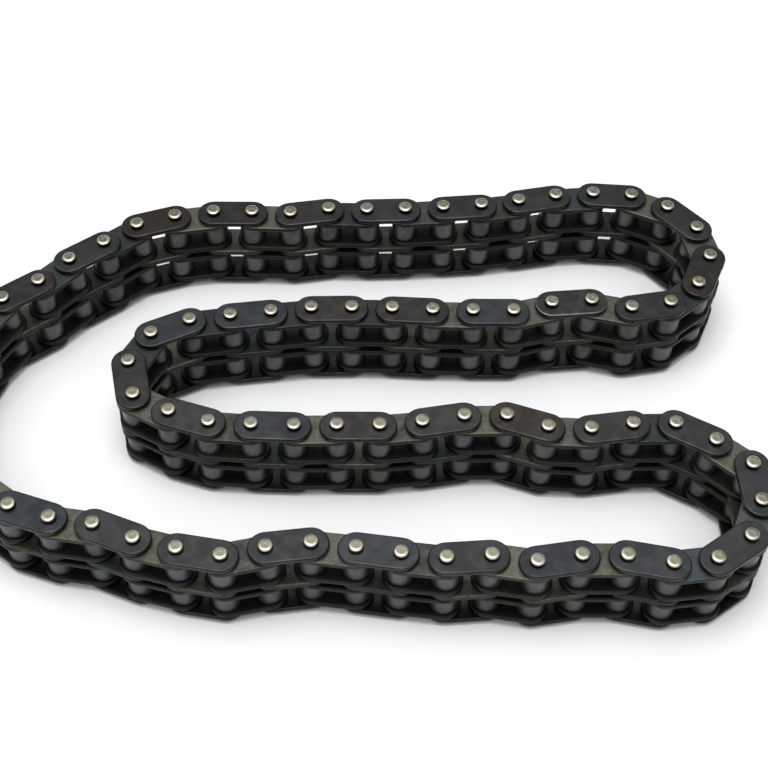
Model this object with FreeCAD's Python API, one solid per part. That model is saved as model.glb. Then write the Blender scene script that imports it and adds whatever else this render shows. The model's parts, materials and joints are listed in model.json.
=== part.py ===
import FreeCAD, Part
import math
import os

# A duplex roller chain of 9.525 mm pitch (ISO 606 size 06B-2), closed into an endless loop of 78
# pitches and laid on its side in four rows, so that every pin stands upright.
# +Z is up, along the pins. +X runs along the rows. The origin is under the middle of the loop, on the
# surface that the lower pin ends rest on. All sizes are in millimetres and all angles in degrees.

# ---- driving dimensions -------------------------------------------------------------------------

PITCH = 9.525
STRAND_PITCH = 10.24          # from the middle of one strand to the middle of the other
ROLLER_DIAMETER = 6.35
ROLLER_BORE = 4.62
BUSH_DIAMETER = 4.50
BUSH_BORE = 3.38
PIN_DIAMETER = 3.28
PIN_LENGTH = 23.8             # over both riveted ends, the whole height of the chain on its side
PIN_END_CHAMFER = 0.3
PLATE_HEIGHT = 7.90           # the plates are straight-sided, with half-round ends
INNER_WIDTH = 5.72            # between the two inner plates of one strand
INNER_PLATE_THICKNESS = 1.30
OUTER_PLATE_THICKNESS = 1.30
CENTRE_PLATE_THICKNESS = 1.50
ROLLER_LENGTH = 5.60
BUSH_STANDOUT = 0.10          # how far a bush end stands out of its inner plate
SIDE_CLEARANCE = 0.06         # from a bush end to the outer plate beside it

# ---- how the loop lies --------------------------------------------------------------------------

# The direction in which each link points, in whole degrees from +X, counter-clockwise seen from above.
# Link 0 starts at the left end of the rear row. Even links are outer links and odd ones inner links.
REAR_ROW = [37, 48, 37, 39, 19, 10, 1, -1, 10, 0, 3, 5, 6, 10, 12, 6]
REAR_RIGHT_BEND = [-3, -24, -47, -77, -113, -140]
SECOND_ROW = [-169, -192, -174, -164, -179, -180, -182, -180, -178, -172, -172, -170]
TIGHT_LEFT_BEND = [-154, -117, -77, -28]
THIRD_ROW = [-17, -3, -1, 2, 1, 7, 11, 2, -18, -2, 9, 2]
FRONT_RIGHT_BEND = [-28, -40, -86, -111, -144]
FRONT_ROW = [-172, -190, -179, -170, -188, -175, -186, -187, -186, -172, -167, -189, -194, -201, -188, -198]
LEFT_BEND = [-216, -230, -245, -259, -274]
HEADINGS = (
    REAR_ROW + REAR_RIGHT_BEND + SECOND_ROW + TIGHT_LEFT_BEND
    + THIRD_ROW + FRONT_RIGHT_BEND + FRONT_ROW + LEFT_BEND
)
# The last two links have no direction of their own: they close the loop.
LINK_COUNT = len(HEADINGS) + 2

CONNECTING_LINK = 24
OPENED_PIN = 25               # the pin whose shank is left short, so that the loop can open there

# ---- which links move as one --------------------------------------------------------------------

# Links that are not in one of these stretches hinge at both of their pins.
RIGID_STRETCHES = (
    [range(start, start + 2) for start in range(1, 15, 2)]
    + [range(start, start + 4) for start in range(43, 67, 4)]
    + [range(start, start + 2) for start in range(67, 77, 2)]
    + [(77, 0)]
)
# These links have a node for each kind of piece.
DETAILED_LINKS = (23, 24, 25, 26)

# ---- heights, from the surface up ---------------------------------------------------------------

MID_HEIGHT = PIN_LENGTH / 2
STRAND_HEIGHTS = (MID_HEIGHT - STRAND_PITCH / 2, MID_HEIGHT + STRAND_PITCH / 2)
BUSH_LENGTH = INNER_WIDTH + 2 * INNER_PLATE_THICKNESS + 2 * BUSH_STANDOUT
LOWER_OUTER_PLATE_TOP = STRAND_HEIGHTS[0] - BUSH_LENGTH / 2 - SIDE_CLEARANCE
UPPER_OUTER_PLATE_BOTTOM = STRAND_HEIGHTS[1] + BUSH_LENGTH / 2 + SIDE_CLEARANCE
OUTER_PLATE_BOTTOMS = (LOWER_OUTER_PLATE_TOP - OUTER_PLATE_THICKNESS, UPPER_OUTER_PLATE_BOTTOM)
CENTRE_PLATE_BOTTOM = MID_HEIGHT - CENTRE_PLATE_THICKNESS / 2


def pin_positions():
    """The pin centres seen from above, one pitch apart, with the loop centred on the origin."""
    points = [(0.0, 0.0)]
    for heading in HEADINGS:
        x, y = points[-1]
        turn = math.radians(heading)
        points.append((x + PITCH * math.cos(turn), y + PITCH * math.sin(turn)))
    # the last pin is the outer corner of an isosceles triangle that stands on the gap left over
    (x0, y0), (x1, y1) = points[0], points[-1]
    gap = math.hypot(x0 - x1, y0 - y1)
    rise = math.sqrt(PITCH**2 - (gap / 2) ** 2)
    points.append(((x0 + x1) / 2 - rise * (y0 - y1) / gap, (y0 + y1) / 2 + rise * (x0 - x1) / gap))
    middle_x = (min(x for x, _ in points) + max(x for x, _ in points)) / 2
    middle_y = (min(y for _, y in points) + max(y for _, y in points)) / 2
    return [(x - middle_x, y - middle_y) for x, y in points]


PINS = pin_positions()


def link_ends(link):
    """The two pin centres of a link."""
    return PINS[link], PINS[(link + 1) % LINK_COUNT]


def cylinder(centre, bottom, top, diameter):
    """An upright solid cylinder."""
    base = FreeCAD.Vector(centre[0], centre[1], bottom)
    return Part.makeCylinder(diameter / 2, top - bottom, base)


def tube(centre, bottom, top, diameter, bore):
    """An upright tube."""
    return cylinder(centre, bottom, top, diameter).cut(cylinder(centre, bottom, top, bore))


def plate(ends, bottom, thickness, hole):
    """A straight-sided plate with half-round ends about two pin centres, and a round hole at each."""
    (x0, y0), (x1, y1) = ends
    radius = PLATE_HEIGHT / 2
    along = FreeCAD.Vector(x1 - x0, y1 - y0, 0).normalize()
    across = FreeCAD.Vector(-along.y, along.x, 0)
    first = FreeCAD.Vector(x0, y0, bottom)
    second = FreeCAD.Vector(x1, y1, bottom)
    outline = Part.Wire([
        Part.LineSegment(first - across * radius, second - across * radius).toShape(),
        Part.Arc(second - across * radius, second + along * radius, second + across * radius).toShape(),
        Part.LineSegment(second + across * radius, first + across * radius).toShape(),
        Part.Arc(first + across * radius, first - along * radius, first - across * radius).toShape(),
    ])
    solid = Part.Face(outline).extrude(FreeCAD.Vector(0, 0, thickness))
    for end in ends:
        solid = solid.cut(cylinder(end, bottom, bottom + thickness, hole))
    return solid


def pin(centre):
    """A riveted pin through both strands, with chamfered ends."""
    solid = cylinder(centre, 0, PIN_LENGTH, PIN_DIAMETER)
    ends = [edge for edge in solid.Edges if isinstance(edge.Curve, Part.Circle)]
    return solid.makeChamfer(PIN_END_CHAMFER, ends)


def short_pin(centre):
    """A pin without its shank inside the bushes: a stud in each outer plate and one in the centre plate."""
    whole = pin(centre)
    kept = (
        (0, LOWER_OUTER_PLATE_TOP),
        (CENTRE_PLATE_BOTTOM, CENTRE_PLATE_BOTTOM + CENTRE_PLATE_THICKNESS),
        (UPPER_OUTER_PLATE_BOTTOM, PIN_LENGTH),
    )
    return [whole.common(cylinder(centre, bottom, top, 2 * PIN_DIAMETER)) for bottom, top in kept]


def outer_plates(link):
    """The lower and the upper outer plate."""
    ends = link_ends(link)
    return [plate(ends, bottom, OUTER_PLATE_THICKNESS, PIN_DIAMETER) for bottom in OUTER_PLATE_BOTTOMS]


def centre_plate(link):
    """The plate between the two strands."""
    return plate(link_ends(link), CENTRE_PLATE_BOTTOM, CENTRE_PLATE_THICKNESS, PIN_DIAMETER)


def pins(link):
    """The two pins of an outer link."""
    return [pin(centre) for centre in link_ends(link)]


def inner_plates(link):
    """Two inner plates for each strand."""
    bottoms = []
    for height in STRAND_HEIGHTS:
        bottoms += [height - INNER_WIDTH / 2 - INNER_PLATE_THICKNESS, height + INNER_WIDTH / 2]
    return [plate(link_ends(link), bottom, INNER_PLATE_THICKNESS, BUSH_DIAMETER) for bottom in bottoms]


def tubes(link, length, diameter, bore):
    """One tube on each pin of each strand, all of one size."""
    return [
        tube(centre, height - length / 2, height + length / 2, diameter, bore)
        for height in STRAND_HEIGHTS
        for centre in link_ends(link)
    ]


def bushes(link):
    """The four bushes pressed into the inner plates."""
    return tubes(link, BUSH_LENGTH, BUSH_DIAMETER, BUSH_BORE)


def rollers(link):
    """The four rollers that turn on the bushes."""
    return tubes(link, ROLLER_LENGTH, ROLLER_DIAMETER, ROLLER_BORE)


def link_pieces(link):
    """Every piece of one link."""
    if link % 2 == 0:
        return outer_plates(link) + [centre_plate(link)] + pins(link)
    return inner_plates(link) + bushes(link) + rollers(link)


def detailed_nodes():
    """The connecting link, the inner link on each side of it and the outer link after that, piece by piece."""
    right, connecting, left, outer = DETAILED_LINKS
    back_plate, removable_plate = outer_plates(connecting)
    nodes = {
        "connecting_plate": [removable_plate],
        "connecting_back_plate": [back_plate],
        "connecting_centre_plate": [centre_plate(connecting)],
        "connecting_pin_right": [pin(PINS[connecting])],
        "connecting_pin_left": short_pin(PINS[OPENED_PIN]),
        "right_inner_plates": inner_plates(right),
        "right_bushes": bushes(right),
        "right_rollers": rollers(right),
        "left_inner_plates": inner_plates(left),
        "left_bushes": bushes(left),
        "left_outer_plates": outer_plates(outer),
        "left_centre_plate": [centre_plate(outer)],
        "left_pins": pins(outer),
    }
    places = ("lower_near", "lower_far", "upper_near", "upper_far")
    for place, roller in zip(places, rollers(left)):
        nodes["roller_" + place] = [roller]
    return nodes


def plain_nodes():
    """Every other link: one node for a link that hinges at both ends, and one for each rigid stretch."""
    nodes = {}
    stretched = set()
    for stretch in RIGID_STRETCHES:
        stretched.update(stretch)
        name = "links_" + "_".join(f"{link:02d}" for link in (stretch[0], stretch[-1]))
        nodes[name] = [piece for link in stretch for piece in link_pieces(link)]
    for link in range(LINK_COUNT):
        if link not in stretched and link not in DETAILED_LINKS:
            kind = "inner_link" if link % 2 else "outer_link"
            nodes[f"{kind}_{link:02d}"] = link_pieces(link)
    return nodes


def main():
    os.makedirs("parts", exist_ok=True)
    for name, solids in {**detailed_nodes(), **plain_nodes()}.items():
        shape = solids[0] if len(solids) == 1 else Part.makeCompound(solids)
        shape.exportStep(f"parts/{name}.step")


main()
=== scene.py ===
"""A closed loop of duplex roller chain, lying on its side in folded rows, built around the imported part."""
import json
import math
import re

import bpy
import numpy as np
from mathutils import Matrix, Vector


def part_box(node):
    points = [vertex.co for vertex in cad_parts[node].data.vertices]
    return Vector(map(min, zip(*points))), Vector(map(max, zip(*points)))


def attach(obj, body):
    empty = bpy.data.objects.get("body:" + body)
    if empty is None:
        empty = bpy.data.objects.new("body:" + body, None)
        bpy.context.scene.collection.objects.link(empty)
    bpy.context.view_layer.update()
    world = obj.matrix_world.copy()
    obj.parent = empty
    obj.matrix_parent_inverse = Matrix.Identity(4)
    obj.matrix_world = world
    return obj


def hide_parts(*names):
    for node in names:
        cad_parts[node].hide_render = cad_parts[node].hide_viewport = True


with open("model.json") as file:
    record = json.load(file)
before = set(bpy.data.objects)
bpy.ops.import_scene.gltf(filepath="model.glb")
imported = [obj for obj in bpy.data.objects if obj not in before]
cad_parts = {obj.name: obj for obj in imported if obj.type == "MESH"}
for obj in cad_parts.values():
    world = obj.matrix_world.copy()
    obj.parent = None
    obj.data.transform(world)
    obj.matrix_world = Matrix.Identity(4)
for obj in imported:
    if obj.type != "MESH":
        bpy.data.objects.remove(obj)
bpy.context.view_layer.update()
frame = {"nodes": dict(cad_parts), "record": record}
BODIES = frame["record"]["behaviour"]["bodies"]
MM = 0.001

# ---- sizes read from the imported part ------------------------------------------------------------


def points_of(node):
    """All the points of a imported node, one row each."""
    mesh = frame["nodes"][node].data
    flat = np.empty(3 * len(mesh.vertices), np.float32)
    mesh.vertices.foreach_get("co", flat)
    return flat.reshape(-1, 3).astype(float)


def levels_of(node):
    """The (bottom, top) heights of the flat-ended pieces in a node, lowest first."""
    heights = np.unique(points_of(node)[:, 2].round(6))
    return list(zip(heights[::2], heights[1::2]))


def plan_centre(node):
    """The middle of a node seen from above."""
    low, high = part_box(node)
    return np.array([(low.x + high.x) / 2, (low.y + high.y) / 2])


def radii_about(node, centre, reach):
    """The smallest and the largest radius of a node's points about an upright line, out to a reach."""
    away = np.hypot(*(points_of(node)[:, :2] - centre).T)
    away = away[away < reach]
    return away.min(), away.max()


CONNECTING_BODY = next(name for name in BODIES if name.startswith("connecting"))
CONNECTING_LINK = int(re.findall(r"\d+", CONNECTING_BODY)[0])
RIGHT_PIN = plan_centre("connecting_pin_right")
LEFT_PIN = plan_centre("connecting_pin_left")
PITCH = float(np.hypot(*(LEFT_PIN - RIGHT_PIN)))

PIN_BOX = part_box("connecting_pin_right")
PIN_RADIUS = (PIN_BOX[1].x - PIN_BOX[0].x) / 2
PIN_TOP = PIN_BOX[1].z
PLATE_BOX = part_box("connecting_plate")
PLATE_RADIUS = (PLATE_BOX[1].x - PLATE_BOX[0].x - abs(LEFT_PIN[0] - RIGHT_PIN[0])) / 2
OUTER_LEVELS = levels_of("left_outer_plates")
CENTRE_LEVELS = levels_of("left_centre_plate")
INNER_LEVELS = levels_of("left_inner_plates")
BUSH_LEVELS = levels_of("left_bushes")
BUSH_BORE, BUSH_RADIUS = radii_about("left_bushes", LEFT_PIN, PITCH / 2)
ROLLER_LEVELS = levels_of("roller_lower_near") + levels_of("roller_upper_near")
ROLLER_BORE, ROLLER_RADIUS = radii_about("roller_lower_near", LEFT_PIN, PITCH / 2)


def pins_in_order():
    """Every pin's place seen from above, in order round the loop.

    A pin's place is the middle of the ring of points where it touches the ground. From each pin the
    walk goes on to the nearest one not yet visited, first from the right to the left connecting pin.
    """
    found = []
    for node in frame["nodes"]:
        points = points_of(node)
        ring = np.unique(points[points[:, 2] < 0.01 * MM].round(7), axis=0)[:, :2]
        while len(ring):
            near = np.hypot(*(ring - ring[0]).T) < 2 * PIN_RADIUS
            found.append(ring[near].mean(0))
            ring = ring[~near]
    found = np.array(found)
    walk = [nearest(found, RIGHT_PIN, []), nearest(found, LEFT_PIN, [])]
    while len(walk) < len(found):
        walk.append(nearest(found, found[walk[-1]], walk))
    return np.roll(found[walk], CONNECTING_LINK, axis=0)


def nearest(places, spot, leave_out):
    """The index of the place nearest to a spot."""
    away = np.hypot(*(places - spot).T)
    away[leave_out] = np.inf
    return int(away.argmin())


PINS = pins_in_order()
LINK_COUNT = len(PINS)


def links_of(body):
    """The numbers of the links in a body, which its name states as one number or as a stretch."""
    numbers = [int(word) for word in re.findall(r"\d+", body)]
    count = (numbers[-1] - numbers[0]) % LINK_COUNT + 1
    return [(numbers[0] + step) % LINK_COUNT for step in range(count)]


# ---- shapes of single solids, in a link's own frame ---------------------------------------------

# In a link's own frame the first pin stands at the origin and the second one a pitch along +X.
QUARTER_TURN = math.pi / 2
UP = QUARTER_TURN             # the lean of a surface that faces up
CORNER_STEPS = 7              # facets in a quarter of a plate's round end
HOLE_STEPS = 3                # facets in the quarter of a hole that faces the other hole
EDGE_STEPS = 2                # facets along a plate's edge between its holes
FLAT_ENOUGH = 0.6             # a face that agrees less than this with a point's direction has a crisp edge
PAINTED_SHADE_SIDE = -0.6              # the flat sides of a plate carry this mark below 0: they are painted near black, a painted shade
NO_TRIANGLES = np.empty((0, 3), int)


class Solid:
    """Points, faces, the direction each point faces, and a mark at each point: above 0 worn bright, and on
    pin rims also a painted highlight; below 0 painted dark as a painted shade.
    """

    def __init__(self, points, facing, wear_and_painted_light, quads, triangles=NO_TRIANGLES):
        corners = np.concatenate([quads.ravel(), triangles.ravel()])
        used, renumbered = np.unique(corners, return_inverse=True)
        self.points = points[used]
        self.facing = facing[used]
        self.wear_and_painted_light = wear_and_painted_light[used]
        self.quads = renumbered[: quads.size].reshape(-1, 4)
        self.triangles = renumbered[quads.size:].reshape(-1, 3)


def strips(ids):
    """Quads between each row of point numbers and the next, from each number to the next in its row."""
    along = np.roll(ids, -1, axis=1)
    return np.stack([ids[:-1], ids[1:], along[1:], along[:-1]], axis=-1)


def plate(level, hole, bevel, hole_bevel, edge_rub=0.3):
    """A plate with half-round ends, rounded edges and two holes.

    Half of the outline is walked, from the far end of the first pin along the lower edge to the far end
    of the second, and mirrored. Round an end each outline point lies straight out from its partner on
    the hole's mouth. Beside the inward-facing quarter of a hole it lies straight below its partner, and
    between the holes straight below a point on the line that joins them. Rings of points go from the
    hole's wall over the top face, down the rounded edge, under the bottom face and back to the wall. The
    two halves share the points on the line between the holes, where there is no wall.
    """
    reach = hole + hole_bevel
    end_quarter = np.linspace(0, QUARTER_TURN, CORNER_STEPS + 1)
    inward_quarter = np.linspace(0, QUARTER_TURN, HOLE_STEPS + 1)
    between = np.linspace(reach, PITCH - reach, EDGE_STEPS + 1)[1:-1]
    down = 3 * QUARTER_TURN
    first_hole = np.concatenate([math.pi + end_quarter, down + inward_quarter[1:]])
    second_hole = np.concatenate([math.pi + inward_quarter[:-1], down + end_quarter])
    hole_turn = np.concatenate([first_hole, between, second_hole])
    edge = np.full(2 * HOLE_STEPS + len(between), down)
    turn = np.concatenate([math.pi + end_quarter, edge, down + end_quarter])
    hole_x = np.concatenate([0 * first_hole, between, PITCH + 0 * second_hole])
    on_line = np.arange(len(turn)) - len(first_hole)
    on_line = (on_line >= 0) & (on_line < len(between))
    hole_way = np.stack([np.cos(hole_turn), np.sin(hole_turn)], 1)
    hole_way[on_line] = 0
    straight = turn == down
    outline_x = hole_x + np.where(straight, reach * hole_way[:, 0], 0)

    outward = np.stack([np.cos(turn), np.sin(turn)], 1)
    hole_centre = np.stack([hole_x, 0 * turn], 1)
    foot = np.stack([outline_x, 0 * turn], 1)

    def whole(half):
        """Both halves of a ring: the lower one and its mirror image, walked back."""
        return np.concatenate([half, (half * [1, -1])[-2:0:-1]])

    def ring(half_xy, half_way, height, lean, wear_and_painted_light_value):
        """A ring of points at one height, each facing sideways and up in the given proportion."""
        xy, way = whole(half_xy), whole(half_way)
        points = np.column_stack([xy, np.full(len(xy), height)])
        facing = np.column_stack([way * math.cos(lean), np.full(len(xy), math.sin(lean))])
        return points, facing, np.full(len(xy), wear_and_painted_light_value)

    bottom, top = level
    soft = bevel * (1 - math.sqrt(0.5))
    wall = hole_centre + hole_way * hole
    mouth = hole_centre + hole_way * reach
    rings = [
        ring(wall, -hole_way, bottom + hole_bevel, 0, 0),
        ring(wall, -hole_way, top - hole_bevel, 0, 0),
        ring(mouth, hole_way, top, UP, 0),
        ring(foot + outward * (PLATE_RADIUS - bevel), outward, top, UP, 0),
        ring(foot + outward * (PLATE_RADIUS - soft), outward, top - soft, UP / 2, edge_rub),
        ring(foot + outward * PLATE_RADIUS, outward, top - bevel, 0, PAINTED_SHADE_SIDE),
        ring(foot + outward * PLATE_RADIUS, outward, bottom + bevel, 0, PAINTED_SHADE_SIDE),
        ring(foot + outward * (PLATE_RADIUS - soft), outward, bottom + soft, -UP / 2, edge_rub),
        ring(foot + outward * (PLATE_RADIUS - bevel), outward, bottom, -UP, 0),
        ring(mouth, hole_way, bottom, -UP, 0),
    ]
    points, facing, wear_and_painted_light = (np.concatenate(column) for column in zip(*rings))
    around = 2 * len(turn) - 2
    ids = np.arange(len(points)).reshape(len(rings), around)
    line = np.arange(len(first_hole) - 1, len(first_hole) + EDGE_STEPS)
    hole_rings = np.array([0, 1, 2, len(rings) - 1])[:, None]
    ids[hole_rings, around - line] = ids[hole_rings, line]
    quads = strips(np.concatenate([ids, ids[:1]]))
    no_wall = np.concatenate([line[:-1], around - line[1:]])
    kept = np.ones(quads.shape[:2], bool)
    kept[np.array([0, 1, len(rings) - 1])[:, None], no_wall] = False
    return Solid(points, facing, wear_and_painted_light, quads[kept])


def turned(rows, facets, hollow):
    """A solid of revolution about the upright line through the first pin.

    Each row is a radius, a height, the lean of the surface there (0 faces outward, a quarter turn faces
    up, a half turn faces the axis) and its mark of wear and painted light (above 0 brighter, below 0 a
    painted shade), starting at the bottom and going up the outside. A hollow one closes back from the last
    row to the first; otherwise the first and the last row are joined to a point on the axis at the same
    height.
    """
    radius, height, lean, wear_and_painted_light_value = np.array(rows, float).T
    turn = np.arange(facets) * 2 * math.pi / facets
    cos, sin = np.cos(turn)[None], np.sin(turn)[None]
    sideways, upward = np.cos(lean)[:, None], np.sin(lean)[:, None]
    flat = np.ones_like(cos)
    wide, high = radius[:, None], height[:, None]
    points = np.stack([wide * cos, wide * sin, high * flat], -1).reshape(-1, 3)
    facing = np.stack([sideways * cos, sideways * sin, upward * flat], -1).reshape(-1, 3)
    wear_and_painted_light = np.repeat(wear_and_painted_light_value, facets)
    ids = np.arange(len(points)).reshape(len(rows), facets)
    if hollow:
        return Solid(points, facing, wear_and_painted_light, strips(np.concatenate([ids, ids[:1]])[::-1]).reshape(-1, 4))
    low_tip, high_tip = len(points), len(points) + 1
    points = np.concatenate([points, [[0, 0, height[0]], [0, 0, height[-1]]]])
    facing = np.concatenate([facing, [[0, 0, -1], [0, 0, 1]]])
    wear_and_painted_light = np.concatenate([wear_and_painted_light, [wear_and_painted_light_value[0], wear_and_painted_light_value[-1]]])
    following = np.roll(ids, -1, axis=1)
    caps = np.concatenate([
        np.stack([following[0], ids[0], np.full(facets, low_tip)], 1),
        np.stack([ids[-1], following[-1], np.full(facets, high_tip)], 1),
    ])
    return Solid(points, facing, wear_and_painted_light, strips(ids[::-1]).reshape(-1, 4), caps)


# One riveted end: radius as a share of the pin's, depth below the tip in mm, lean, and how bright it is
# painted: brightest round the rim, polished steel with a painted highlight, and 0 down the shank, oil with a
# painted shade.
RIVETED_END = (
    (1.00, 0.50, 0.00, 0.0),
    (0.985, 0.30, 0.28 * UP, 0.6),
    (0.90, 0.13, 0.60 * UP, 1.0),
    (0.74, 0.03, 0.85 * UP, 0.8),
    (0.54, 0.00, 0.97 * UP, 0.4),
    (0.26, 0.02, 1.04 * UP, 0.3),
)


def pin_piece(bottom, top, low_end=True, high_end=True, facets=24):
    """A pin, or a short length of one.

    A riveted end is rounded over and very slightly dished in the middle; any other end is cut flat.
    """

    def end(height, inward, riveted):
        """The rows of one end, from the shank to the axis; inward is the way from the tip to the shank."""
        if not riveted:
            return [(PIN_RADIUS, height, 0, 0)]
        return [
            (wide * PIN_RADIUS, height + inward * deep * MM, -inward * lean, wear_and_painted_light_value)
            for wide, deep, lean, wear_and_painted_light_value in RIVETED_END
        ]

    return turned(end(bottom, 1, low_end)[::-1] + end(top, -1, high_end), facets, hollow=False)


def ring_of(level, bore, radius, corner, facets=20):
    """A bush or a roller: a tube with its outer corners rounded over."""
    bottom, top = level
    return turned(
        [
            (bore, bottom, math.pi, 0),
            (radius - corner, bottom, -UP, 0.2),
            (radius, bottom + corner, 0, 0.5),
            (radius, top - corner, 0, 0.5),
            (radius - corner, top, UP, 0.2),
            (bore, top, math.pi, 0),
        ],
        facets,
        hollow=True,
    )


OUTER_PLATES = [plate(level, PIN_RADIUS, 0.42 * MM, 0.10 * MM) for level in OUTER_LEVELS]
CONNECTING_PLATES = [plate(level, PIN_RADIUS, 0.55 * MM, 0.10 * MM, edge_rub=1) for level in OUTER_LEVELS]
CENTRE_PLATES = [plate(level, PIN_RADIUS, 0.36 * MM, 0.08 * MM) for level in CENTRE_LEVELS]
INNER_PLATES = [plate(level, BUSH_RADIUS, 0.34 * MM, 0.05 * MM) for level in INNER_LEVELS]
BUSHES = [ring_of(level, BUSH_BORE, BUSH_RADIUS, 0.08 * MM) for level in BUSH_LEVELS]
ROLLERS = [ring_of(level, ROLLER_BORE, ROLLER_RADIUS, 0.22 * MM) for level in ROLLER_LEVELS]
PIN = [pin_piece(0, PIN_TOP)]
SHORT_PIN = [
    pin_piece(0, OUTER_LEVELS[0][1], high_end=False),
    pin_piece(*CENTRE_LEVELS[0], low_end=False, high_end=False),
    pin_piece(OUTER_LEVELS[1][0], PIN_TOP, low_end=False),
]

# ---- placing solids and making pieces -----------------------------------------------------------

SEED = 62
# Each kind of piece throws its own dice, so that no kind's chances depend on another's.
OUTER_DICE, CENTRE_DICE, PIN_DICE, INNER_DICE, BUSH_DICE, ROLLER_DICE = range(1, 7)


def heading_of(link):
    """The start of a link and the direction it points in."""
    start, end = PINS[link], PINS[(link + 1) % LINK_COUNT]
    along = (end - start) / np.hypot(*(end - start))
    return start, along


def placed(solid, start, along, chance, middle):
    """A solid turned and moved to its place, with three numbers by chance that are its own.

    Its points' places in its own frame, in mm from its middle, go along with it for the finishes.
    """
    turn = np.array([[along[0], along[1], 0], [-along[1], along[0], 0], [0, 0, 1]])
    points = solid.points @ turn + [*start, 0]
    own = (solid.points - [middle, 0, 0]) / MM
    return {
        "points": points,
        "facing": solid.facing @ turn,
        "wear_and_painted_light": solid.wear_and_painted_light,
        "own": own,
        "chance": np.broadcast_to(chance, points.shape),
        "quads": solid.quads,
        "triangles": solid.triangles,
    }


def dice_for(link, kind):
    """The dice of one kind of piece on one link."""
    return np.random.default_rng([SEED, link, kind])


def on_link(solids, link, kind):
    """Plates of one kind on one link."""
    start, along = heading_of(link)
    dice = dice_for(link, kind)
    return [placed(solid, start, along, dice.random(3), PITCH / 2) for solid in solids]


def on_pins(solids, link, kind):
    """Round pieces of one kind at both ends of a link, each set turned by chance."""
    dice = dice_for(link, kind)
    made = []
    for end in (link, (link + 1) % LINK_COUNT):
        made += on_pin(solids, end, dice)
    return made


def on_pin(solids, pin, dice):
    """Round pieces about one pin."""
    turn = dice.random() * 2 * math.pi
    along = np.array([math.cos(turn), math.sin(turn)])
    return [placed(solid, PINS[pin], along, dice.random(3), 0) for solid in solids]


def mesh_of(name, parts):
    """One mesh of several placed solids, with the direction each corner faces set one by one.

    A corner faces the way its point does, unless its face is turned well away from that.
    """
    starts = np.cumsum([0] + [len(part["points"]) for part in parts])
    joined = {
        key: np.concatenate([part[key] for part in parts])
        for key in ("points", "facing", "wear_and_painted_light", "own", "chance")
    }
    faces = [
        face
        for kind in ("quads", "triangles")
        for part, start in zip(parts, starts)
        for face in (part[kind] + start).tolist()
    ]
    mesh = bpy.data.meshes.new(name)
    mesh.from_pydata(joined["points"].tolist(), [], faces)
    mesh.attributes.new("wear_and_painted_light", "FLOAT", "POINT").data.foreach_set("value", joined["wear_and_painted_light"])
    for key in ("own", "chance"):
        layer = mesh.attributes.new(key, "FLOAT_VECTOR", "POINT")
        layer.data.foreach_set("vector", np.ascontiguousarray(joined[key]).ravel())
    mesh.polygons.foreach_set("use_smooth", np.ones(len(faces), bool))
    sizes = np.array([len(face) for face in faces])
    face_way = np.empty(3 * len(faces), np.float32)
    mesh.polygons.foreach_get("normal", face_way)
    face_way = np.repeat(face_way.reshape(-1, 3), sizes, axis=0)
    corner_way = joined["facing"][np.concatenate([np.array(face) for face in faces])]
    agree = (face_way * corner_way).sum(1) > FLAT_ENOUGH
    mesh.normals_split_custom_set(np.where(agree[:, None], corner_way, face_way).tolist())
    return mesh


def make_piece(name, parts, finish, body, nodes):
    """One piece of the visual model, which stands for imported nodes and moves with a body."""
    piece = bpy.data.objects.new(name, mesh_of(name, parts))
    bpy.context.scene.collection.objects.link(piece)
    piece.data.materials.append(finish)
    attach(piece, body)
    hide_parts(*nodes)
    return piece


# ---- finishes -----------------------------------------------------------------------------------

PATTERN_REACH_MM = (91.0, 57.0, 73.0)     # how far apart chance may move the patterns of two solids
NOISE_ROUGHNESS = 0.55


class Signal:
    """A shader socket that can be worked with like a number."""

    def __init__(self, finish, socket):
        self.finish = finish
        self.socket = socket

    def _math(self, operation, first, second):
        """A Math node on two numbers or signals."""
        return self.finish.node("ShaderNodeMath", {"operation": operation}, {0: first, 1: second})

    def __add__(self, other):
        return self._math("ADD", self, other)

    def __radd__(self, other):
        return self._math("ADD", other, self)

    def __sub__(self, other):
        return self._math("SUBTRACT", self, other)

    def __rsub__(self, other):
        return self._math("SUBTRACT", other, self)

    def __mul__(self, other):
        return self._math("MULTIPLY", self, other)

    def __rmul__(self, other):
        return self._math("MULTIPLY", other, self)


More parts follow.
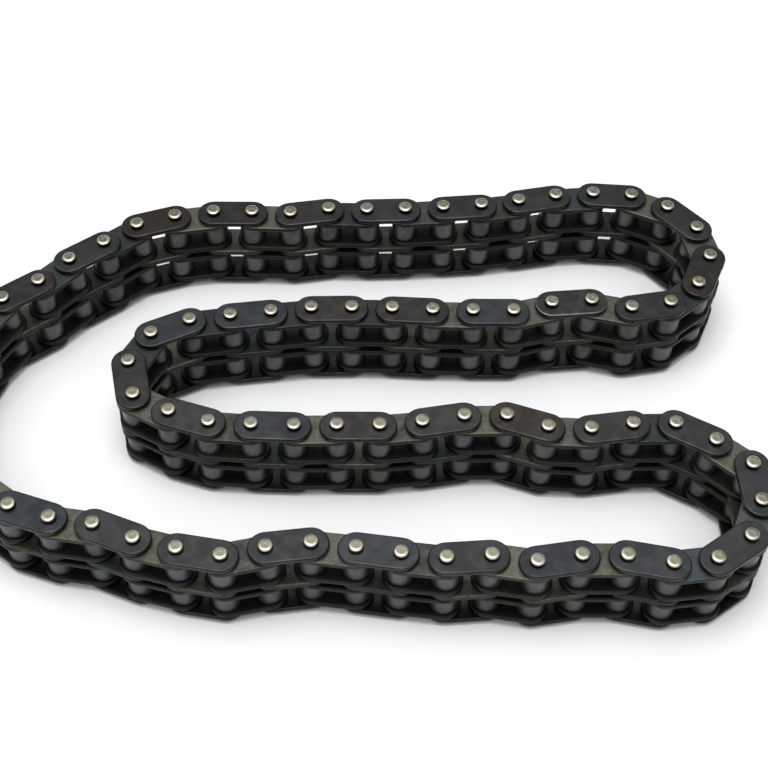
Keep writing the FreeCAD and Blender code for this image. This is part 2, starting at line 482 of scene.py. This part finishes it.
class Finish:
    """A material put together from nodes."""

    def __init__(self, name):
        self.material = bpy.data.materials.new(name)
        self.material.use_nodes = True
        self.tree = self.material.node_tree
        self.tree.nodes.clear()

    def node(self, kind, settings, inputs, output=0):
        """Adds a node, sets it, then fills or links its inputs, and gives back one of its outputs."""
        made = self.tree.nodes.new(kind)
        for name, value in settings.items():
            setattr(made, name, value)
        for name, value in inputs.items():
            if isinstance(value, Signal):
                self.tree.links.new(value.socket, made.inputs[name])
            else:
                made.inputs[name].default_value = value
        return Signal(self, made.outputs[output]) if made.outputs else None

    def attribute(self, name, output):
        """A value that the mesh carries at each point."""
        return self.node("ShaderNodeAttribute", {"attribute_name": name}, {}, output)

    def own_place(self):
        """The place on the piece's own solid, in mm."""
        return self.attribute("own", "Vector")

    def chances(self):
        """The solid's own three numbers by chance."""
        return self.apart(self.attribute("chance", "Vector"))

    def apart(self, vector):
        """The three numbers of a vector."""
        split = self.node("ShaderNodeSeparateXYZ", {}, {0: vector}).socket.node
        return [Signal(self, socket) for socket in split.outputs]

    def scaled(self, vector, by):
        """A vector stretched by a factor along each axis."""
        return self.node("ShaderNodeVectorMath", {"operation": "MULTIPLY"}, {0: vector, 1: by})

    def shifted(self, vector):
        """A place moved by the solid's own chance numbers, so that no two solids carry the same pattern."""
        away = self.scaled(self.attribute("chance", "Vector"), PATTERN_REACH_MM)
        return self.node("ShaderNodeVectorMath", {"operation": "ADD"}, {0: vector, 1: away})

    def noise(self, place, scale, detail=2.0):
        """Cloudy noise between 0 and 1, with a scale in clouds per unit of the place."""
        inputs = {"Vector": place, "Scale": scale, "Detail": detail, "Roughness": NOISE_ROUGHNESS}
        return self.node("ShaderNodeTexNoise", {}, inputs)

    def fade(self, value, low, high):
        """0 below low, 1 above high and smooth between."""
        return self.node(
            "ShaderNodeMapRange",
            {"interpolation_type": "SMOOTHSTEP", "clamp": True},
            {"Value": value, "From Min": low, "From Max": high, "To Min": 0.0, "To Max": 1.0},
        )

    def blend(self, share, first, second):
        """A mix of two colours."""
        inputs = {"Factor": share, 6: solid_colour(first), 7: solid_colour(second)}
        return self.node("ShaderNodeMix", {"data_type": "RGBA"}, inputs, 2)

    def bump(self, height, depth_mm):
        """The surface's direction over dents of a given depth."""
        inputs = {"Height": height, "Distance": depth_mm * MM, "Strength": 1.0}
        return self.node("ShaderNodeBump", {}, inputs)

    def steel(self, **sockets):
        """The surface itself, from the principled shader."""
        named = {name.replace("_", " "): value for name, value in sockets.items()}
        surface = self.node("ShaderNodeBsdfPrincipled", {}, named)
        self.node("ShaderNodeOutputMaterial", {}, {"Surface": surface})
        return self.material


def solid_colour(value):
    """A colour with its fourth number, unless it is a link already."""
    return value if isinstance(value, Signal) else (*value, 1.0)


BLUE_BLACK = (0.024, 0.028, 0.031)
GREY_BLACK = (0.026, 0.026, 0.025)
BROWN_BLACK = (0.029, 0.024, 0.019)
WORN_BLUE = (0.046, 0.051, 0.052)
RUBBED_STEEL = (0.30, 0.30, 0.30)
OLD_OIL = (0.050, 0.044, 0.022)
OLIVE_STEEL = (0.112, 0.114, 0.086)
SLATE_STEEL = (0.054, 0.064, 0.068)
ROLLER_GREY = (0.088, 0.088, 0.088)
BRIGHT_STEEL = (0.66, 0.64, 0.55)
DULL_STEEL = (0.235, 0.225, 0.17)
OILY_STEEL = (0.050, 0.048, 0.044)
# The two darks below stand for real oil and soot, and are also painted as shade: on the lower plates, on the
# flat sides of plates and down the pin shanks.
OIL_AND_PAINTED_SHADE_BLACK = (0.008, 0.008, 0.008)
SOOT_AND_PAINTED_SHADE = (0.015, 0.0145, 0.012)
PLATE_HALF_PITCH_MM = PITCH / MM / 2
# Heights in mm: plates are painted darker below the first one, a painted shade that deepens towards the
# bottom, and are not darkened above the second.
UPPER_STRAND_PAINTED_SHADE = (12.0, 20.0)
CENTRE_PLATE_PAINTED_SHADE = (0.0, 14.0)


def pin_distance(finish, place):
    """How far a place on a plate is from the nearer of its two pins, in mm."""
    folded = finish.node("ShaderNodeVectorMath", {"operation": "ABSOLUTE"}, {0: place})
    from_pin = finish.node(
        "ShaderNodeVectorMath", {"operation": "SUBTRACT"}, {0: folded, 1: (PLATE_HALF_PITCH_MM, 0.0, 0.0)}
    )
    flat = finish.scaled(from_pin, (1.0, 1.0, 0.0))
    return finish.node("ShaderNodeVectorMath", {"operation": "LENGTH"}, {0: flat}, 1)


def blued_plate(name, rubbed_share=0.16, brushed=0.35):
    """Blued and oiled sheet steel, a little different on every plate, with edges worn bright, and with
    painted shade on the flat sides and on the lower plates.
    """
    finish = Finish(name)
    place = finish.own_place()
    moved = finish.shifted(place)
    hue, shade, rust = finish.chances()
    clouds = finish.noise(moved, 0.35, 3.0)
    streaks = finish.noise(finish.scaled(moved, (0.25, 5.0, 0.25)), 1.0, 3.0)
    grain = finish.noise(moved, 9.0, 2.0)
    wear_and_painted_light = finish.attribute("wear_and_painted_light", "Fac")

    tint = finish.blend(finish.fade(hue + 0.5 * clouds, 0.35, 0.85), BLUE_BLACK, GREY_BLACK)
    tint = finish.blend(finish.fade(hue + 0.7 * clouds, 0.85, 1.35), tint, BROWN_BLACK)
    lighter = finish.fade(clouds + 0.5 * shade, 0.45, 1.05)
    tint = finish.blend(0.45 * lighter, tint, WORN_BLUE)
    near_pin = 1 - finish.fade(pin_distance(finish, place), 1.6, 2.7)
    stain = near_pin * finish.fade(clouds + 0.4 * rust, 0.45, 0.95)
    tint = finish.blend(0.4 * stain, tint, OLD_OIL)
    wear = finish.fade(wear_and_painted_light + 0.5 * grain, 0.65, 1.25) * rubbed_share
    tint = finish.blend(wear, tint, RUBBED_STEEL)
    # Painted shade: plates below the upper strand are painted darker towards the bottom.
    depth = 1 - finish.fade(finish.apart(place)[2], *UPPER_STRAND_PAINTED_SHADE)
    tint = finish.blend(depth * 0.85, tint, OIL_AND_PAINTED_SHADE_BLACK)
    # Painted shade: the flat sides, marked below 0, are painted near black.
    tint = finish.blend(finish.fade(0 - wear_and_painted_light, 0.1, 0.5), tint, OIL_AND_PAINTED_SHADE_BLACK)
    tint = finish.blend(0.35 * finish.fade(grain + 0.6 * streaks, 0.7, 1.1), tint, OIL_AND_PAINTED_SHADE_BLACK)

    roughness = 0.36 + 0.22 * (streaks - 0.5) + 0.16 * (clouds - 0.5) - 0.12 * wear
    height = 0.6 * grain + brushed * streaks
    return finish.steel(
        Base_Color=tint, Metallic=0.72, Roughness=roughness, Normal=finish.bump(height, 0.012),
        Coat_Weight=0.25 * finish.fade(clouds, 0.4, 0.7), Coat_Roughness=0.22,
    )


def oiled_plate(name, painted_shade_heights):
    """Plain sheet steel under a film of old oil, olive on some plates and slate on others.

    The sides are painted near black as a painted shade. Between the two heights a painted shade grows
    from the upper plates to the lower ones.
    """
    finish = Finish(name)
    place = finish.own_place()
    moved = finish.shifted(place)
    hue, shade, _ = finish.chances()
    clouds = finish.noise(moved, 0.45, 3.0)
    grain = finish.noise(moved, 7.0, 3.0)
    wear_and_painted_light = finish.attribute("wear_and_painted_light", "Fac")
    depth = 1 - finish.fade(finish.apart(place)[2], *painted_shade_heights)
    tint = finish.blend(finish.fade(hue + 0.3 * clouds, 0.65, 0.95), OLIVE_STEEL, SLATE_STEEL)
    tint = finish.blend(finish.fade(clouds + 0.8 * shade, 0.6, 1.3) * 0.6, tint, SOOT_AND_PAINTED_SHADE)
    tint = finish.blend(0.5 * finish.fade(finish.noise(moved, 1.6, 3.0), 0.45, 0.75), tint, SOOT_AND_PAINTED_SHADE)
    tint = finish.blend(finish.fade(wear_and_painted_light + 0.5 * grain, 0.7, 1.3) * 0.06, tint, RUBBED_STEEL)
    # Painted shade: darker towards the lower plates, and near black on the flat sides.
    tint = finish.blend(depth * 0.92, tint, SOOT_AND_PAINTED_SHADE)
    tint = finish.blend(finish.fade(0 - wear_and_painted_light, 0.1, 0.5) * 0.85, tint, OIL_AND_PAINTED_SHADE_BLACK)
    roughness = 0.46 + 0.25 * (clouds - 0.5)
    return finish.steel(
        Base_Color=tint, Metallic=0.72, Roughness=roughness, Specular_IOR_Level=0.3,
        Normal=finish.bump(grain, 0.010),
    )


def ground_roller(name):
    """Hardened roller steel, ground round and dulled by oil."""
    finish = Finish(name)
    moved = finish.shifted(finish.own_place())
    _, shade, _ = finish.chances()
    clouds = finish.noise(moved, 0.5, 2.0)
    rings = finish.noise(finish.scaled(moved, (0.3, 0.3, 6.0)), 1.0, 2.0)
    tint = finish.blend(finish.fade(clouds + 0.5 * shade, 0.5, 1.3), ROLLER_GREY, OILY_STEEL)
    roughness = 0.38 + 0.2 * (clouds - 0.5)
    return finish.steel(
        Base_Color=tint, Metallic=0.75, Roughness=roughness, Normal=finish.bump(rings + 0.4 * clouds, 0.008),
    )


def riveted_pin(name, dent_depth_mm):
    """Bright pin steel on the riveted ends, the rim brightest as polished steel with a painted highlight,
    and the shank painted dark with oil and a painted shade.
    """
    finish = Finish(name)
    place = finish.own_place()
    moved = finish.shifted(place)
    _, shade, _ = finish.chances()
    mottle = finish.noise(moved, 1.1, 3.0)
    fine = finish.noise(moved, 5.0, 2.0)
    wear_and_painted_light = finish.attribute("wear_and_painted_light", "Fac")
    # The rim is painted brightest: polished steel and a painted highlight.
    polish_and_painted_highlight = finish.fade(wear_and_painted_light + 0.5 * mottle - 0.12 * shade, 0.62, 1.22)
    bright = finish.blend(polish_and_painted_highlight, DULL_STEEL, BRIGHT_STEEL)
    # The shank is painted near black: oil and a painted shade.
    tint = finish.blend(finish.fade(wear_and_painted_light, 0.05, 0.3), OIL_AND_PAINTED_SHADE_BLACK, bright)
    roughness = 0.27 + 0.14 * finish.fade(mottle, 0.4, 0.7)
    return finish.steel(
        Base_Color=tint, Metallic=0.95, Roughness=roughness,
        Normal=finish.bump(mottle + 0.3 * fine, dent_depth_mm),
    )


BLUED = blued_plate("blued_outer_plate")
CONNECTING = blued_plate("brushed_connecting_plate", rubbed_share=1.0, brushed=0.9)
OILED = oiled_plate("oiled_inner_plate", UPPER_STRAND_PAINTED_SHADE)
OILED_CENTRE = oiled_plate("oiled_centre_plate", CENTRE_PLATE_PAINTED_SHADE)
GROUND = ground_roller("ground_roller_steel")
RIVETED = riveted_pin("riveted_pin_steel", dent_depth_mm=0.02)
PEENED = riveted_pin("hand_peened_pin_steel", dent_depth_mm=0.16)

# ---- the links ----------------------------------------------------------------------------------


def outer_pieces(links, body, nodes, label):
    """The outer plates, centre plates and pins of the outer links in a body."""
    plates = [part for link in links for part in on_link(OUTER_PLATES, link, OUTER_DICE)]
    middles = [part for link in links for part in on_link(CENTRE_PLATES, link, CENTRE_DICE)]
    pins = [part for link in links for part in on_pins(PIN, link, PIN_DICE)]
    make_piece("outer_plates_" + label, plates, BLUED, body, nodes("outer_plates"))
    make_piece(
        "centre_plates_" + label, middles, OILED_CENTRE, body, nodes("centre_plate")
    )
    make_piece("pins_" + label, pins, RIVETED, body, nodes("pins"))


def inner_pieces(links, body, nodes, label, with_rollers=True):
    """The inner plates, bushes and rollers of the inner links in a body."""
    plates = [part for link in links for part in on_link(INNER_PLATES, link, INNER_DICE)]
    bushes = [part for link in links for part in on_pins(BUSHES, link, BUSH_DICE)]
    make_piece("inner_plates_" + label, plates, OILED, body, nodes("inner_plates"))
    make_piece("bushes_" + label, bushes, GROUND, body, nodes("bushes"))
    if with_rollers:
        rollers = [part for link in links for part in on_pins(ROLLERS, link, ROLLER_DICE)]
        make_piece("rollers_" + label, rollers, GROUND, body, nodes("rollers"))


def connecting_pieces(link, body):
    """The link that closes the loop: its upper plate is brushed, and its pins are peened over by hand."""
    bottom, top = on_link(CONNECTING_PLATES, link, OUTER_DICE)
    middle = on_link(CENTRE_PLATES, link, CENTRE_DICE)
    dice = dice_for(link, PIN_DICE)
    right = on_pin(PIN, link, dice)
    left = on_pin(SHORT_PIN, link + 1, dice)
    for name, parts, finish, slot, node in (
        ("connecting_top_plate", [top], CONNECTING, "outer_plate_steel", "connecting_plate"),
        ("connecting_bottom_plate", [bottom], BLUED, "outer_plate_steel", "connecting_back_plate"),
        ("connecting_middle_plate", middle, OILED_CENTRE, "outer_plate_steel", "connecting_centre_plate"),
        ("connecting_right_pin", right, PEENED, "pin_steel", "connecting_pin_right"),
        ("connecting_left_pin", left, PEENED, "pin_steel", "connecting_pin_left"),
    ):
        make_piece(name, parts, finish, body, [node])


def loose_rollers(link):
    """The four rollers that spin by themselves, one piece and one body each."""
    dice = dice_for(link, ROLLER_DICE)
    for end, pin in (("near", link), ("far", link + 1)):
        lower, upper = on_pin(ROLLERS, pin, dice)
        for level, part in (("lower", lower), ("upper", upper)):
            node = f"roller_{level}_{end}"
            make_piece("spinning_" + node, [part], GROUND, node, [node])


def build_chain():
    """Every link, body by body."""
    for body, members in BODIES.items():
        if body.startswith("roller"):
            continue
        links = links_of(body)

        def nodes(kind, members=members):
            """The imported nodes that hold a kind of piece: all of the body's, or the one named after it."""
            return members if len(members) == 1 else [node for node in members if kind in node]

        outer = [link for link in links if link % 2 == 0]
        inner = [link for link in links if link % 2]
        label = "_".join(re.findall(r"\d+", body))
        if body == CONNECTING_BODY:
            connecting_pieces(CONNECTING_LINK, body)
            continue
        if outer:
            outer_pieces(outer, body, nodes, label)
        if inner:
            has_spinning = inner == [CONNECTING_LINK + 1]
            inner_pieces(inner, body, nodes, label, with_rollers=not has_spinning)
            if has_spinning:
                loose_rollers(inner[0])


build_chain()

# ---- floor, light and camera --------------------------------------------------------------------


def floor():
    """A plain pale floor, far wider than the view."""
    reach = 3.0
    mesh = bpy.data.meshes.new("floor")
    corners = [(-reach, -reach, 0), (reach, -reach, 0), (reach, reach, 0), (-reach, reach, 0)]
    mesh.from_pydata(corners, [], [(0, 1, 2, 3)])
    made = bpy.data.objects.new("floor", mesh)
    bpy.context.scene.collection.objects.link(made)
    finish = Finish("white_paper")
    mottle = finish.noise(finish.node("ShaderNodeTexCoord", {}, {}, "Object"), 40.0, 3.0)
    tint = finish.blend(mottle, (0.90, 0.90, 0.905), (0.93, 0.93, 0.93))
    mesh.materials.append(finish.steel(Base_Color=tint, Roughness=0.7, Specular_IOR_Level=0.2))


def soft_box(name, place, size, power):
    """A soft lamp, size in metres and power in watts, that points at the middle of the floor."""
    data = bpy.data.lights.new(name, "AREA")
    data.shape = "RECTANGLE"
    data.size, data.size_y = size
    data.energy = power
    lamp = bpy.data.objects.new(name, data)
    bpy.context.scene.collection.objects.link(lamp)
    lamp.location = place
    lamp.rotation_mode = "QUATERNION"
    lamp.rotation_quaternion = (-Vector(place)).to_track_quat("-Z", "Y")


def room_light(strength, colour):
    """Even light from all round."""
    world = bpy.data.worlds.new("pale_room")
    world.use_nodes = True
    background = world.node_tree.nodes["Background"]
    background.inputs["Color"].default_value = (*colour, 1)
    background.inputs["Strength"].default_value = strength
    bpy.context.scene.world = world


CAMERA_PLACE = (0.00888, -0.21433, 0.29281)
CAMERA_DOWN = 52.6            # degrees below the horizon
CAMERA_ROLL = 0.96            # degrees
LENS = 70.4                   # mm, on a 36 mm wide sensor


def camera():
    """The camera stands before the front row, above it, and looks down along +Y."""
    data = bpy.data.cameras.new("camera")
    data.lens = LENS
    data.sensor_width = 36.0
    data.clip_start = 0.01
    made = bpy.data.objects.new("camera", data)
    bpy.context.scene.collection.objects.link(made)
    tilt = Matrix.Rotation(math.radians(90 - CAMERA_DOWN), 4, "X")
    roll = Matrix.Rotation(math.radians(CAMERA_ROLL), 4, "Z")
    made.matrix_world = Matrix.Translation(CAMERA_PLACE) @ tilt @ roll
    bpy.context.scene.camera = made


floor()
room_light(strength=0.30, colour=(0.93, 0.96, 1.0))
soft_box("wide_overhead_soft_box", (-0.08, -0.04, 1.0), (1.7, 1.6), 11.3)
soft_box("small_overhead_soft_box", (-0.05, -0.07, 1.0), (0.5, 0.4), 4.4)
camera()
bpy.context.scene.view_settings.view_transform = "Standard"
